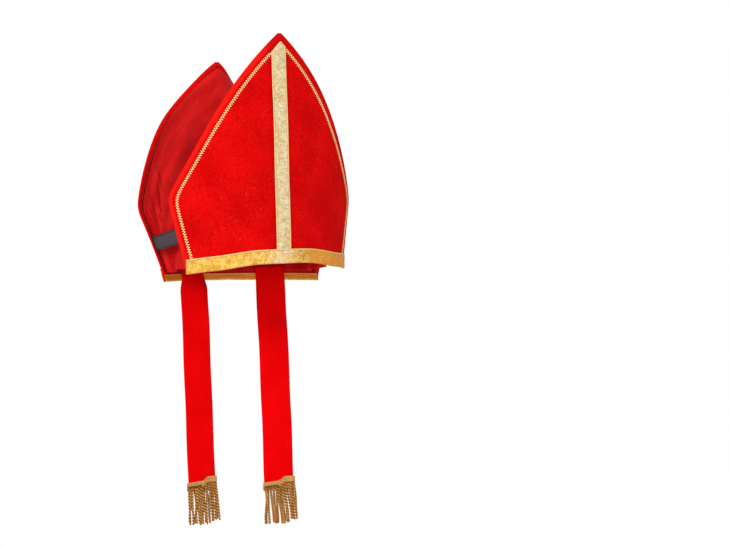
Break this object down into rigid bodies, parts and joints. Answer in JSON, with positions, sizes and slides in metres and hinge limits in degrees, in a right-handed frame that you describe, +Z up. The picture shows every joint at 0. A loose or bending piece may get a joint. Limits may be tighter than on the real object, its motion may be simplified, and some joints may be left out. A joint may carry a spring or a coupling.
{
  "type": "bishop mitre",
  "caption": "Ceremonial pointed hat with stiff front and back panels joined by a satin web, bound in gold brocade ribbon, with fringed lappets hanging behind.",
  "frame": {"origin": "middle of the head opening, at the height of the middle of the two hems", "axes": "+Z up towards the peaks, -Y out of the front panel, +X towards the wearer's left"},
  "size_m": [0.286, 0.2357, 0.6462],
  "materials": {
    "velour": "short-pile red velour",
    "satin": "soft glossy red satin",
    "gold_brocade": "metallic gold woven ribbon with a scroll pattern",
    "gold_cord": "twisted metallic gold cord",
    "black_elastic": "matt woven black elastic"
  },
  "bodies": {
    "root": {"front_panel": "velour", "back_panel": "velour", "front_lining": "satin", "back_lining": "satin", "satin_web": "satin", "front_hem_ribbon": "gold_brocade", "back_hem_ribbon": "gold_brocade", "front_ribbon": "gold_brocade", "elastic_left": "black_elastic", "elastic_right": "black_elastic", "lappet_left": "velour", "lappet_right": "velour", "lappet_ribbon_left": "gold_brocade", "lappet_ribbon_right": "gold_brocade", "fringe_left": "gold_cord", "fringe_right": "gold_cord"}
  },
  "joints": []
}
